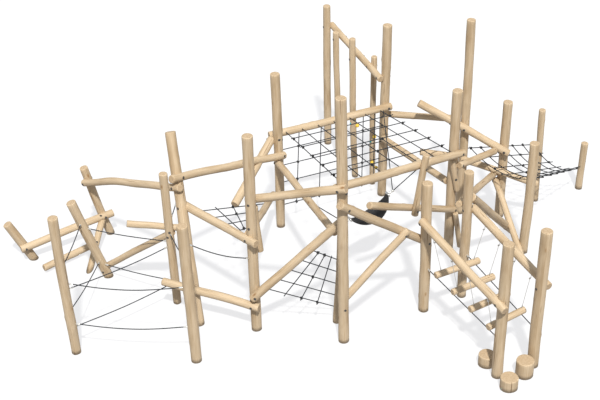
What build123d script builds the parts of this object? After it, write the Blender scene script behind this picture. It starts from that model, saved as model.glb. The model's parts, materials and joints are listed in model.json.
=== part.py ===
"""A climbing structure of round peeled logs: posts, rails, nets, slack ropes, a step bridge and a hammock.

Millimetres, +Z up. The origin is the centre of the front deck post's foot, on the ground.
+X runs to the right along the front of the structure and +Y runs to its back.
"""
from build123d import *
import os
from collections import namedtuple
from math import cos, pi, radians, sin, tan

os.makedirs("parts", exist_ok=True)

# ---------------------------------------------------------------- driving dimensions

POST = 158            # usual post diameter
RAIL = 128            # usual diameter of a beam, rail or brace
STRUT = 100           # thin struts
END_CHAMFER = 8       # softened edge of a sawn log end
NOTCH = 16            # how deep a log sits into its neighbour at a joint
GAP = 0.4             # free space left between two pieces that touch

BOLT = 16             # through bolts
BOLT_HEAD = 34
BOLT_SINK = 12        # depth of the counterbore below the log's surface

ROPE = 16             # nets, slack ropes and bridge ropes
FERRULE = 26
FERRULE_LENGTH = 60
CONNECTOR = 38        # clamps at the crossings of a net

FRONT, BACK, LEFT, RIGHT = -90, 90, 180, 0    # side of a post that a log lies on, as a direction in plan

# ---------------------------------------------------------------- posts
# Foot in plan, height, diameter, and how far the top leans from the foot.

Post = namedtuple("Post", "x y height diameter lean_x lean_y", defaults=(0, 0))

POSTS = {
    "rope_left": Post(-4045, -130, 2460, 145, -45),
    "rope_front": Post(-2215, -380, 2450, 165, -45),
    "rope_back": Post(-2600, 1030, 2420, 132, -35),
    "tall_leaning": Post(-2225, 510, 2790, 148, -310, 1100),
    "short_inner": Post(-3780, 1760, 1520, 140, -410, -90),
    "short_outer": Post(-3890, 2990, 1370, 140, -290, -60),
    "short_low": Post(-5100, 2300, 760, 135, -300, -70),
    "deck_left": Post(-1325, 330, 3450, 160, -5),
    "deck_front": Post(0, 0, 4200, POST, -40),
    "deck_inner": Post(-90, 450, 2150, 120, 70, -130),
    "deck_back_left": Post(-955, 3090, 2950, 155, -15),
    "deck_back_right": Post(845, 4000, 3320, 155, 40),
    "deck_right": Post(1850, 2350, 2980, 160, 10),
    "tallest": Post(2160, 3380, 3680, 148),
    "pole_post": Post(-60, 5810, 2850, 135),
    "pole_a": Post(125, 5300, 2560, 110, -40, 40),
    "pole_b": Post(400, 4620, 2780, 112, -60),
    "pole_c": Post(700, 4370, 2560, 105),
    "bridge_upper_left": Post(1275, 700, 2360, 163, -20),
    "bridge_upper_right": Post(1910, 1040, 2320, 150),
    "bridge_lower_left": Post(2205, -870, 2370, 165),
    "bridge_lower_right": Post(2757, -660, 2420, 168),
    "net_left": Post(2828, 3250, 2250, 155),
    "net_front": Post(3075, 2180, 2100, 155, 20),
    "net_back": Post(3530, 3700, 1830, 115, -25),
    "net_right": Post(4370, 4050, 940, 122, 15),
}

# ---------------------------------------------------------------- straight members

Member = namedtuple("Member", "start end radius")


def in_plan(angle):
    """Unit vector in plan at an angle from +X, in degrees."""
    return Vector(cos(radians(angle)), sin(radians(angle)), 0)


def unit(member):
    """Unit vector along a member's axis, from its start to its end."""
    return (member.end - member.start).normalized()


def axis_point(member, height):
    """Point of a post's axis at a height above the ground."""
    rise = (height - member.start.Z) / (member.end.Z - member.start.Z)
    return member.start + (member.end - member.start) * rise


def beside(member, point, side, diameter):
    """Axis point of a log that lies on one side of a member and is notched into it."""
    return point + in_plan(side) * (member.radius + diameter / 2 - NOTCH)


def at_post(name, height, side, diameter=RAIL):
    return beside(MEMBERS[name], axis_point(MEMBERS[name], height), side, diameter)


def at_log(name, share, side, diameter=RAIL):
    """Axis point beside another log, at a share of that log's length."""
    log = MEMBERS[name]
    return beside(log, log.start + (log.end - log.start) * share, side, diameter)


def add_log(name, start, end, over_start=60, over_end=60, diameter=RAIL):
    """Lays a log through two points, with its ends running on past them."""
    start, end = Vector(start), Vector(end)
    along = (end - start).normalized()
    MEMBERS[name] = Member(start - along * over_start, end + along * over_end, diameter / 2)


MEMBERS = {}
for name, post in POSTS.items():
    foot = Vector(post.x, post.y, 0)
    top = Vector(post.x + post.lean_x, post.y + post.lean_y, post.height)
    MEMBERS[name] = Member(foot, top, post.diameter / 2)

# Logs beside the leaning posts, near the ground.
add_log("balance_log", at_post("short_low", 290, FRONT), at_post("short_outer", 420, FRONT), 20, 215)
add_log("ground_strut", (-4075, 2130, 40), (-3990, 2810, 370), 0, 40, STRUT)
add_log("ground_log", (-4790, 1910, 110), (-4190, 2400, 125), 60, 90, STRUT + 15)

# Long rails from the leaning posts to the deck.
add_log("bent_rail_left", at_post("short_outer", 1145, FRONT), at_post("tall_leaning", 2050, FRONT), 90, 60, 122)
add_log("bent_rail_middle", at_post("tall_leaning", 2185, FRONT), at_post("deck_back_left", 1490, FRONT), 110, 160, 122)
add_log("bent_stub", at_post("rope_back", 1380, BACK), at_post("tall_leaning", 1340, BACK), 660, 60, 108)

# Braces of the rope bay.
add_log("bay_brace_left", at_post("short_inner", 120, BACK), at_post("rope_back", 1255, BACK), 60, 60, 108)
add_log("bay_brace_low", at_post("tall_leaning", 560, FRONT), at_post("deck_left", 520, FRONT), 520, 60)
add_log("bay_brace_high", at_post("tall_leaning", 1685, BACK), at_post("deck_left", 1730, FRONT), 70, 90)

# Braces of the side net.
add_log("net_arm", at_post("deck_back_left", 1740, LEFT, 110), (-1640, 1900, 1255), 20, 20, 110)
add_log("net_brace", at_post("deck_back_left", 640, LEFT, 110), at_log("bay_brace_high", 0.84, 45, 110), 60, 60, 110)
add_log("post_splint", (-1225, 415, 1410), (-1285, 450, 2190), 0, 0, 110)

# Beams round the deck net.
add_log("deck_front_beam", at_post("deck_left", 2310, BACK), at_post("deck_front", 2820, FRONT), 70, 65)
add_log("deck_right_beam", at_post("deck_front", 2690, 115), at_post("deck_right", 1900, -65), 60, 140)
add_log("deck_back_beam", at_post("deck_back_left", 1770, BACK), at_post("deck_back_right", 1840, FRONT), 150, 110)

# Rails above the deck and beside the climbing poles.
add_log("upper_rail", at_post("tallest", 1740, FRONT), at_post("net_left", 1370, FRONT), 905, 60)
add_log("upper_link", at_post("deck_back_right", 1640, RIGHT, 115), at_log("upper_rail", 0.36, 100, 115), 60, 60, 115)
add_log("pole_rail", at_post("pole_post", 2440, 10, 115), at_post("deck_back_right", 2370, 200, 115), 60, 60, 115)

# Cross braces below the deck.
add_log("cross_brace_back", at_post("deck_back_left", 1350, FRONT), at_post("deck_inner", 1790, LEFT), 60, 60, 115)
add_log("cross_brace_front", at_post("deck_left", 720, FRONT), at_post("deck_inner", 2040, FRONT), 60, 60)

# Braces at the front right, between the deck and the bridge.
add_log("front_brace_high", at_post("deck_front", 2520, FRONT), at_post("bridge_upper_left", 1250, BACK), 70, 80, 122)
add_log("front_brace_low", at_post("deck_front", 670, BACK), at_log("front_brace_high", 0.70, FRONT), 60, 110, 115)
add_log("hanging_rail", (410, 740, 1950), at_post("deck_right", 850, FRONT), 0, 80, 115)
add_log("hanging_strut", at_log("hanging_rail", 0.46, -45), at_log("deck_right_beam", 0.62, -45), 90, 230, 110)

# Handrails of the bridge.
add_log("handrail_left", at_post("bridge_upper_left", 1720, -110), at_post("bridge_lower_left", 1350, -105), 60, 60)
add_log("handrail_right", at_post("bridge_upper_right", 1640, RIGHT), at_post("bridge_lower_right", 1450, 60), 60, 110)

# Braces and rails beside the hammock net.
add_log("net_brace_ground", at_post("bridge_upper_right", 1830, 35, 110), (2950, 2720, 50), 60, 0, 110)
add_log("net_brace_rising", at_post("bridge_upper_right", 1710, 150), at_post("net_left", 880, 180), 60, 60, 110)
add_log("net_brace_falling", at_post("net_left", 740, -150), (3010, 2010, 60), 60, 0, 110)
add_log("net_rail_low", at_post("tallest", 1150, FRONT), at_post("net_left", 950, FRONT), 60, 600, 115)
add_log("net_rail_high", at_post("deck_right", 1650, -20), (2600, 3030, 1430), 60, 60, 115)

# Struts round the right deck post.
add_log("right_strut_high", (1815, 2220, 1790), (1925, 2246, 1200), 0, 0, 90)
add_log("right_strut_low", (2035, 2350, 40), (1915, 2205, 790), 0, 0, 85)
add_log("right_rail_low", at_post("deck_back_right", 1220, FRONT), at_post("deck_right", 1300, 150), 60, 60, 115)
add_log("right_stub", (1390, 2480, 1790), at_post("deck_right", 1710, BACK), 60, 70, 110)

# ---------------------------------------------------------------- bolted joints
# Each log is bolted through to the log or post that it lies on.

JOINTS = [
    ("balance_log", "short_low"), ("balance_log", "short_outer"), ("ground_strut", "balance_log"),
    ("ground_log", "ground_strut"), ("bent_rail_left", "short_outer"), ("bent_rail_left", "tall_leaning"),
    ("bent_rail_middle", "tall_leaning"), ("bent_rail_middle", "deck_back_left"),
    ("bent_stub", "rope_back"), ("bent_stub", "tall_leaning"),
    ("bay_brace_left", "short_inner"), ("bay_brace_left", "rope_back"),
    ("bay_brace_low", "tall_leaning"), ("bay_brace_low", "deck_left"),
    ("bay_brace_high", "tall_leaning"), ("bay_brace_high", "deck_left"),
    ("net_arm", "deck_back_left"), ("net_brace", "deck_back_left"), ("net_brace", "bay_brace_high"),
    ("post_splint", "deck_left"), ("deck_front_beam", "deck_left"), ("deck_front_beam", "deck_front"),
    ("deck_right_beam", "deck_front"), ("deck_right_beam", "deck_right"),
    ("deck_back_beam", "deck_back_left"), ("deck_back_beam", "deck_back_right"),
    ("upper_rail", "tallest"), ("upper_rail", "net_left"),
    ("upper_link", "deck_back_right"), ("upper_link", "upper_rail"),
    ("pole_rail", "pole_post"), ("pole_rail", "deck_back_right"),
    ("pole_a", "pole_rail"), ("pole_b", "pole_rail"), ("pole_c", "pole_rail"),
    ("cross_brace_back", "deck_back_left"), ("cross_brace_back", "deck_inner"),
    ("cross_brace_front", "deck_left"), ("cross_brace_front", "deck_inner"),
    ("front_brace_high", "deck_front"), ("front_brace_high", "bridge_upper_left"),
    ("front_brace_low", "deck_front"), ("front_brace_low", "front_brace_high"),
    ("hanging_rail", "deck_right"), ("hanging_strut", "hanging_rail"), ("hanging_strut", "deck_right_beam"),
    ("handrail_left", "bridge_upper_left"), ("handrail_left", "bridge_lower_left"),
    ("handrail_right", "bridge_upper_right"), ("handrail_right", "bridge_lower_right"),
    ("net_brace_ground", "bridge_upper_right"), ("net_brace_rising", "bridge_upper_right"),
    ("net_brace_rising", "net_left"), ("net_brace_falling", "net_left"),
    ("net_rail_low", "tallest"), ("net_rail_low", "net_left"), ("net_rail_high", "deck_right"),
    ("right_strut_high", "deck_right"), ("right_rail_low", "deck_back_right"), ("right_rail_low", "deck_right"), ("right_stub", "deck_right"),
]

Bolt = namedtuple("Bolt", "start end radius first second")
BOLT_EDGE = 45        # least distance of a bolt from a log's end


def line_of(bar):
    return Edge.make_line(bar.start, bar.end)


def inside(bar, point):
    """The nearest point of a bar's axis that is not too close to its ends."""
    length = (bar.end - bar.start).length
    along = min(max((point - bar.start).dot(unit(bar)), BOLT_EDGE), length - BOLT_EDGE)
    return bar.start + unit(bar) * along


def bolt_between(first, second):
    """A through bolt from the outer side of one log to the far side of the other."""
    log, other = MEMBERS[first], MEMBERS[second]
    on_log, on_other = line_of(log).closest_points(line_of(other))
    on_log, on_other = inside(log, on_log), inside(other, on_other)
    across = unit(log).cross(unit(other)).normalized()
    if across.dot(on_other - on_log) < 0:
        across = across * -1
    return Bolt(on_log - across * log.radius, on_other + across * other.radius, BOLT / 2, first, second)


BOLTS = [bolt_between(first, second) for first, second in JOINTS]

# ---------------------------------------------------------------- slack ropes
# Posts and heights that each rope hangs between, and how far each bend lies below the straight line.

Slack = namedtuple("Slack", "left left_height right right_height drops")

SLACK_ROPES = [
    Slack("rope_left", 1570, "short_inner", 1120, (13, 22, 28, 30, 27, 20, 11)),
    Slack("rope_left", 770, "short_inner", 340, (14, 25, 32, 34, 31, 23, 13)),
    Slack("short_inner", 1010, "rope_back", 1180, (11, 19, 22, 21, 17, 10)),
    Slack("rope_back", 1110, "rope_left", 1180, (15, 26, 31, 32, 28, 21, 11)),
    Slack("short_inner", 270, "rope_back", 420, (11, 18, 20, 17, 10)),
    Slack("rope_left", 1310, "rope_front", 1380, (32, 56, 71, 77, 71, 55, 31)),
    Slack("rope_back", 400, "rope_left", 470, (12, 22, 29, 32, 28, 21, 11)),
    Slack("rope_left", 560, "rope_front", 650, (28, 49, 62, 67, 63, 49, 27)),
    Slack("tall_leaning", 1930, "rope_back", 1480, (3,)),
    Slack("rope_back", 1340, "rope_front", 1850, (12, 20, 24, 23, 19, 11)),
    Slack("rope_front", 2160, "deck_left", 1330, (27, 45, 53, 48, 29)),
]


def rope_ends(slack):
    """Where a slack rope leaves its two ferrules, and the directions of the ferrules."""
    left = axis_point(MEMBERS[slack.left], slack.left_height)
    right = axis_point(MEMBERS[slack.right], slack.right_height)
    run = (right - left).length / (len(slack.drops) + 1)
    along = (right - left).normalized()
    out_left = (along * run - Vector(0, 0, slack.drops[0])).normalized()
    out_right = (along * -run - Vector(0, 0, slack.drops[-1])).normalized()
    return left, out_left, right, out_right


def past_surface(post, direction):
    """How far a line from a post's axis runs before it is clear of the post."""
    slant = radians(unit(post).get_angle(direction))
    return (post.radius + GAP) / sin(slant)


def slack_route(slack):
    """The points of a slack rope, from ferrule to ferrule."""
    left, out_left, right, out_right = rope_ends(slack)
    start = left + out_left * (past_surface(MEMBERS[slack.left], out_left) + FERRULE_LENGTH + 1)
    end = right + out_right * (past_surface(MEMBERS[slack.right], out_right) + FERRULE_LENGTH + 1)
    bends = len(slack.drops) + 1
    middle = [start + (end - start) * ((i + 1) / bends) - Vector(0, 0, drop) for i, drop in enumerate(slack.drops)]
    return [start, *middle, end]


ROPE_ROUTES = {f"slack_rope_{i + 1}": slack_route(slack) for i, slack in enumerate(SLACK_ROPES)}

# ---------------------------------------------------------------- the bridge
# Two taut ropes, four round steps just above them, and the handrails that the steps hang from.

STEP = 105
STEP_GAP = 14         # free space between a step and the ropes
STEP_OVERHANG = 45    # how far a step runs out past each rope
STEP_LEFT = (0.18, 0.41, 0.64, 0.87)
STEP_RIGHT = (0.18, 0.39, 0.60, 0.81)
HANGER = 8
HANGER_SPREAD = 280   # from the middle of a step to each hanger
PIN = 10
PIN_DROP = 95         # from a handrail's axis down to the hinge pin, less the handrail's radius
PIN_LENGTH = 34
RING = 13
RING_THICK = 10
PIN_CLEARANCE = 0.3

bridge_left = (axis_point(MEMBERS["bridge_upper_left"], 850), axis_point(MEMBERS["bridge_lower_left"], 660))
bridge_right = (axis_point(MEMBERS["bridge_upper_right"], 850), axis_point(MEMBERS["bridge_lower_right"], 660))


def taut_route(ends, posts):
    """A taut rope from one post's ferrule to the other's."""
    along = (ends[1] - ends[0]).normalized()
    clear = [past_surface(MEMBERS[post], along) + FERRULE_LENGTH + 1 for post in posts]
    return [ends[0] + along * clear[0], ends[1] - along * clear[1]]


ROPE_ROUTES["bridge_rope_left"] = taut_route(bridge_left, ("bridge_upper_left", "bridge_lower_left"))
ROPE_ROUTES["bridge_rope_right"] = taut_route(bridge_right, ("bridge_upper_right", "bridge_lower_right"))


def step_axis(share_left, share_right):
    """The axis of a step, above the two ropes."""
    lift = Vector(0, 0, ROPE / 2 + STEP_GAP + STEP / 2)
    left = bridge_left[0] + (bridge_left[1] - bridge_left[0]) * share_left + lift
    right = bridge_right[0] + (bridge_right[1] - bridge_right[0]) * share_right + lift
    out = (right - left).normalized() * STEP_OVERHANG
    return Member(left - out, right + out, STEP / 2)


def above_step(step, rail):
    """Point of a handrail's axis in the upright plane of a step."""
    normal = unit(step).cross(Vector(0, 0, 1)).normalized()
    share = normal.dot(step.start - rail.start) / normal.dot(rail.end - rail.start)
    return rail.start + (rail.end - rail.start) * share


STEPS = [step_axis(*shares) for shares in zip(STEP_LEFT, STEP_RIGHT)]
PINS = []
for step in STEPS:
    drop = Vector(0, 0, RAIL / 2 + PIN_DROP)
    PINS.append(Member(above_step(step, MEMBERS["handrail_left"]) - drop,
                       above_step(step, MEMBERS["handrail_right"]) - drop, PIN / 2))

# ---------------------------------------------------------------- the hammock

HAMMOCK_LEFT = Vector(170, 1600, 1130)      # tips of the crescent, on its rolling axis
HAMMOCK_RIGHT = Vector(770, 1900, 1380)
HAMMOCK_DEPTH = 250
HAMMOCK_WIDTH = 360
HAMMOCK_SHEET = 14
HAMMOCK_RIM = 60      # how far the long edges curl up
CLAMP = (24, 60, 96)
STUD = 16
CUP = 34
CUP_LENGTH = 58
STUD_LENGTH = 54
CUP_START = 20        # from a tip to the open end of its cup
SWIVEL = 44           # ball at the outer end of a cup

# ---------------------------------------------------------------- nets
# Each net is stretched between two lines, with its ropes at shares of them. Corners run round the net.
# A net with a sag hangs down between its first and last cross ropes, and bends halfway between crossings.

Net = namedtuple("Net", "corners long_shares cross_shares cross_reach cross_shift knots sag", defaults=(0,))
OVERRUN = 0.015      # how far the long ropes of a sagging net run past its end ropes, as a share
CROSSING = 25        # between the axes of crossing ropes, in a sagging net
BACK_CORNER = Vector(0, -112, 30)      # from the post's axis to the back corner of the hammock net


def along_log(name, share):
    return MEMBERS[name].start + (MEMBERS[name].end - MEMBERS[name].start) * share


NETS = {
    "deck_net": Net(
        (along_log("deck_back_beam", 0.13), along_log("deck_back_beam", 0.89),
         along_log("deck_right_beam", 0.93), along_log("deck_right_beam", 0.07)),
        (0, 1 / 6, 2 / 6, 3 / 6, 4 / 6, 5 / 6, 1), (1 / 6, 2 / 6, 3 / 6, 4 / 6, 5 / 6), ((-0.02, 1.02),) * 5,
        Vector(0, 0, 24), ((0, 0), (0, 1), (0, 2), (0, 3), (0, 4), (6, 0), (6, 1), (6, 2), (6, 3), (6, 4),
                           (2, 1), (4, 2), (3, 3), (2, 4))),
    "back_net": Net(
        (along_log("deck_back_beam", 0.23), along_log("deck_back_beam", 0.87),
         Vector(700, 3950, 280), Vector(-700, 3200, 390)),
        (0.02, 0.3, 0.58, 0.84, 0.99), (0.24, 0.45, 0.68, 0.99), ((-0.22, 1.1),) * 4,
        Vector(0, 20, 0), ((0, 0), (0, 1), (0, 2), (0, 3), (3, 0), (3, 1), (3, 2), (3, 3), (1, 3), (2, 3), (4, 3))),
    "side_net": Net(
        (along_log("bay_brace_high", 0.22), along_log("bay_brace_high", 0.72),
         along_log("net_brace", 0.80), along_log("net_brace", 0.26)),
        (0, 1 / 3, 2 / 3, 1), (0.27, 0.5, 0.75), ((-0.03, 1.03),) * 3,
        Vector(0, 0, 21), ((0, 1), (3, 1), (1, 1))),
    "low_net": Net(
        (along_log("cross_brace_front", 0.63), along_log("cross_brace_front", 0.14),
         along_log("deck_inner", 0.14), along_log("deck_inner", 0.575)),
        (0, 0.25, 0.5, 0.75, 1), (0.28, 0.5, 0.72), ((-0.03, 1.03),) * 3,
        Vector(0, -20, 0), ((0, 0), (0, 1), (4, 1), (4, 2), (2, 1))),
    "hammock_net": Net(
        (axis_point(MEMBERS["tallest"], 1300), axis_point(MEMBERS["net_back"], 1190) + BACK_CORNER,
         axis_point(MEMBERS["net_right"], 430), axis_point(MEMBERS["net_front"], 1400)),
        (0.09, 0.22, 0.378, 0.5, 0.63, 0.765, 0.9), (0, 0.163, 0.39, 0.6, 0.8, 1),
        ((-0.04, 0.925), *((0.065, 0.925),) * 4, (-0.04, 1.04)), None,
        tuple((rope, end) for rope in range(7) for end in (0, 5)) + ((0, 2), (6, 2), (2, 3), (4, 1), (3, 2)), 200),
}


def bends(net):
    """Shares of the long ropes' length between which a net's surface is straight."""
    return 0, *((first + second) / 2 for first, second in zip(net.cross_shares, net.cross_shares[1:])), 1


def hang(net, cross_share):
    """How far a net's surface hangs below the straight lines between its sides."""
    runs = list(zip(bends(net), bends(net)[1:]))
    first, last = next((run for run in runs if cross_share <= run[1]), runs[-1])
    high, low = (4 * net.sag * share * (1 - share) for share in (first, last))
    return high + (low - high) * (cross_share - first) / (last - first)


def net_point(net, long_share, cross_share):
    """Point of a net's surface at shares of its first side and of its ropes' length."""
    a, b, c, d = net.corners
    top = a + (b - a) * long_share
    bottom = d + (c - d) * long_share
    return top + (bottom - top) * cross_share - Vector(0, 0, hang(net, cross_share))


def long_route(net, share):
    """The points of a rope that runs a net's length."""
    places = (-OVERRUN, *bends(net)[1:-1], 1 + OVERRUN) if net.sag else (0, 1)
    return [net_point(net, share, place) for place in places]


def long_run(net, long_index, cross_index):
    """The straight run of a long rope in which a crossing lies."""
    points = long_route(net, net.long_shares[long_index])
    run = cross_index if net.sag else 0
    return Member(points[run], points[run + 1], ROPE / 2)


def cross_rope(net, index):
    """A rope laid across the long ones, a rope's width off the net's surface."""
    share = net.cross_shares[index]
    shift = net.cross_shift
    if net.sag:
        along = net_point(net, 0.5, share + 0.01) - net_point(net, 0.5, share - 0.01)
        across = net_point(net, 1, share) - net_point(net, 0, share)
        shift = across.cross(along).normalized() * -CROSSING
    first, last = (net_point(net, reach, share) + shift for reach in net.cross_reach[index])
    return Member(first, last, ROPE / 2)


def corner_tie(net, post, height):
    """The short rope from the end of a net's first cross rope to a post."""
    corner, end = cross_rope(net, 0).end, axis_point(post, height)
    return Member(corner + (end - corner).normalized() * ROPE * 0.75, end, ROPE / 2)


# ---------------------------------------------------------------- small pieces

STUMPS = [(2084, -609, 250, 190), (2603, -856, 262, 270), (2335, -1127, 266, 192)]    # x, y, diameter, height

HOLD = 70
SMALL_HOLD = 46
HOLDS = [("pole_a", 1200, -70, HOLD), ("pole_a", 550, -40, HOLD), ("pole_b", 1270, -80, HOLD),
         ("pole_b", 1080, -30, HOLD), ("pole_c", 1010, -70, HOLD), ("pole_c", 480, -100, HOLD),
         ("pole_c", 340, -20, HOLD), ("pole_b", 1130, -150, SMALL_HOLD), ("pole_c", 900, -140, SMALL_HOLD)]

# ---------------------------------------------------------------- solids


def within_reach(bar, others):
    """The bars that a bar would cut into."""
    line = line_of(bar)
    return [other for other in others if line.distance_to(line_of(other)) < bar.radius + other.radius + GAP]


def largest(shape):
    return shape.solids().sort_by(SortBy.VOLUME)[-1]


def cut_along(bar, radius, start=0, end=None):
    """Takes a round hole along a bar's axis out of the part being built."""
    length = (bar.end - bar.start).length
    end = length if end is None else end
    with BuildSketch(Plane(origin=bar.start + unit(bar) * start, z_dir=unit(bar))) as hole:
        Circle(radius)
    extrude(hole.sketch, amount=end - start, mode=Mode.SUBTRACT)


def round_bar(bar, cut_by=(), chamfered=0):
    """A round bar cut flat at the ground, less the bars that pass through it."""
    low, high = sorted((bar.start, bar.end), key=lambda point: point.Z)
    up = (high - low).normalized()
    grounded = low.Z < bar.radius
    below = 150 if grounded else 0
    with BuildPart() as piece:
        with BuildSketch(Plane(origin=low - up * below, z_dir=up)):
            Circle(bar.radius)
        extrude(amount=(high - low).length + below)
        if chamfered:
            ends = piece.edges().filter_by(GeomType.CIRCLE).sort_by(Axis(low, up))
            chamfer(ends[-1:] if grounded else ends, chamfered)
        if grounded:
            split(bisect_by=Plane.XY, keep=Keep.TOP)
        for other in cut_by:
            cut_along(other, other.radius + GAP, -GAP, (other.end - other.start).length + GAP)
    return largest(piece.part)


def log_piece(name):
    """One log, notched where it lies on earlier logs and drilled for its bolts."""
    log = MEMBERS[name]
    names = list(MEMBERS)
    earlier = [MEMBERS[other] for other in names[:names.index(name)]]
    blank = round_bar(log, within_reach(log, earlier), END_CHAMFER)
    with BuildPart() as piece:
        add(blank)
        for bolt in BOLTS:
            length = (bolt.end - bolt.start).length
            if name in (bolt.first, bolt.second):
                cut_along(bolt, BOLT / 2 + 0.5)
            elif line_of(bolt).distance_to(line_of(log)) < log.radius + BOLT_HEAD / 2 + 2:
                cut_along(bolt, BOLT_HEAD / 2 + 1, 1, length - 1)
            if bolt.first == name:
                cut_along(bolt, BOLT_HEAD / 2 + 4, -20, BOLT_SINK)
            if bolt.second == name:
                cut_along(bolt, BOLT_HEAD / 2 + 4, length - BOLT_SINK, length + 20)
    return largest(piece.part)


def bolt_pieces(bolt):
    """A round-headed through bolt and its nut."""
    length = (bolt.end - bolt.start).length
    sunk = bolt.start + unit(bolt) * 3
    with BuildPart() as screw:
        with BuildSketch(Plane(origin=sunk, z_dir=unit(bolt))):
            Circle(BOLT_HEAD / 2)
        extrude(amount=BOLT_SINK - 3)
        chamfer(screw.edges().filter_by(GeomType.CIRCLE).sort_by(Axis(sunk, unit(bolt)))[:1], 3)
        with BuildSketch(Plane(origin=sunk, z_dir=unit(bolt))):
            Circle(BOLT / 2)
        extrude(amount=length - 5)
    with BuildPart() as nut:
        with BuildSketch(Plane(origin=bolt.end - unit(bolt) * BOLT_SINK, z_dir=unit(bolt))):
            RegularPolygon(BOLT * 0.9, 6)
            Circle(BOLT / 2 + 0.05, mode=Mode.SUBTRACT)
        extrude(amount=8)
    return [screw.part.solid(), nut.part.solid()]


def export(name, pieces):
    """Writes one node made of separate solids."""
    with BuildPart() as node:
        add(pieces)
    node.part.label = name
    export_step(node.part, f"parts/{name}.step")


LOG_NODES = {
    "rope_bay_posts": ["rope_left", "rope_front", "rope_back"],
    "tall_leaning_post": ["tall_leaning"],
    "short_leaning_posts": ["short_inner", "short_outer", "short_low"],
    "deck_post_left": ["deck_left"],
    "deck_post_front": ["deck_front"],
    "deck_post_inner": ["deck_inner"],
    "deck_back_posts": ["deck_back_left", "deck_back_right"],
    "deck_post_right": ["deck_right"],
    "tallest_post": ["tallest"],
    "pole_post": ["pole_post"],
    "climbing_poles": ["pole_a", "pole_b", "pole_c"],
    "bridge_posts_upper": ["bridge_upper_left", "bridge_upper_right"],
    "bridge_posts_lower": ["bridge_lower_left", "bridge_lower_right"],
    "hammock_net_posts": ["net_left", "net_front", "net_back", "net_right"],
    "balance_logs": ["balance_log", "ground_strut", "ground_log"],
    "bent_rails": ["bent_rail_left", "bent_rail_middle", "bent_stub"],
    "rope_bay_braces": ["bay_brace_left", "bay_brace_low", "bay_brace_high"],
    "side_net_braces": ["net_arm", "net_brace", "post_splint"],
    "deck_beams": ["deck_front_beam", "deck_right_beam", "deck_back_beam"],
    "upper_rails": ["upper_rail", "upper_link", "pole_rail"],
    "deck_cross_braces": ["cross_brace_back", "cross_brace_front"],
    "front_right_braces": ["front_brace_high", "front_brace_low"],
    "hanging_braces": ["hanging_rail", "hanging_strut"],
    "handrails": ["handrail_left", "handrail_right"],
    "net_side_logs": ["net_brace_ground", "net_brace_rising", "net_brace_falling", "net_rail_low", "net_rail_high"],
    "right_post_struts": ["right_strut_high", "right_strut_low", "right_rail_low", "right_stub"],
}

for node_name, logs in LOG_NODES.items():
    export(node_name, [log_piece(log) for log in logs])

export("bolts", [piece for bolt in BOLTS for piece in bolt_pieces(bolt)])

stumps = []
for x, y, diameter, height in STUMPS:
    with BuildPart() as stump:
        with BuildSketch(Plane(origin=(x, y, 0))):
            Circle(diameter / 2)
        extrude(amount=height)
        chamfer(stump.faces().sort_by(Axis.Z)[-1].edges(), END_CHAMFER)
    stumps.append(stump.part.solid())
export("stumps", stumps)

# ---------------------------------------------------------------- ropes and ferrules


def bend_radii(points):
    """The largest arc at each corner of a route that its two runs leave room for."""
    radii = []
    for before, corner, after in zip(points, points[1:], points[2:]):
        turn = (corner - before).get_angle(after - corner)
        shorter = min((corner - before).length, (after - corner).length)
        radii.append(0.45 * shorter / tan(radians(turn) / 2))
    return radii


def swept_rope(rope_name, points):
    """A rope along a route, bent as gently as the route allows."""
    radii = bend_radii(points)
    with BuildPart() as rope:
        with BuildLine() as route:
            if radii:
                FilletPolyline(*points, radius=radii)
            else:
                Line(*points)
        with BuildSketch(Plane(origin=points[0], z_dir=points[1] - points[0])):
            Circle(ROPE / 2)
        sweep(path=route.wire())
    length = route.wire().length
    expected = length * pi * ROPE ** 2 / 4
    print(f"{rope_name}: length {length:.0f}, radii {[round(radius) for radius in radii]}, "
          f"volume / expected {rope.part.volume / expected:.4f}")
    return rope


for rope_name, points in ROPE_ROUTES.items():
    rope = swept_rope(rope_name, points)
    rope.part.label = rope_name
    export_step(rope.part, f"parts/{rope_name}.step")


def ferrule(origin, direction, post):
    """A pressed sleeve from a post's surface outwards along a rope."""
    reach = past_surface(post, direction) + FERRULE_LENGTH
    sleeve = Member(origin, origin + direction * reach, FERRULE / 2)
    return round_bar(sleeve, within_reach(sleeve, MEMBERS.values()), 2)


fittings = []
for slack in SLACK_ROPES:
    left, out_left, right, out_right = rope_ends(slack)
    fittings.append(ferrule(left, out_left, MEMBERS[slack.left]))
    fittings.append(ferrule(right, out_right, MEMBERS[slack.right]))
for ends, posts in ((bridge_left, ("bridge_upper_left", "bridge_lower_left")),
                    (bridge_right, ("bridge_upper_right", "bridge_lower_right"))):
    along = (ends[1] - ends[0]).normalized()
    fittings.append(ferrule(ends[0], along, MEMBERS[posts[0]]))
    fittings.append(ferrule(ends[1], along * -1, MEMBERS[posts[1]]))

# ---------------------------------------------------------------- net pieces

for net_name, net in NETS.items():
    laid = [cross_rope(net, index) for index in range(len(net.cross_shares))]
    if net.sag:
        routes = [long_route(net, share) for share in net.long_shares]
        hung = [swept_rope(f"{net_name} {index + 1}", route).part.solid() for index, route in enumerate(routes)]
        laid.append(corner_tie(net, MEMBERS["net_back"], 1190))
    else:
        laid = [long_run(net, index, 0) for index in range(len(net.long_shares))] + laid
        hung = []
    export(net_name, hung + [round_bar(rope, within_reach(rope, MEMBERS.values())) for rope in laid])


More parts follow.
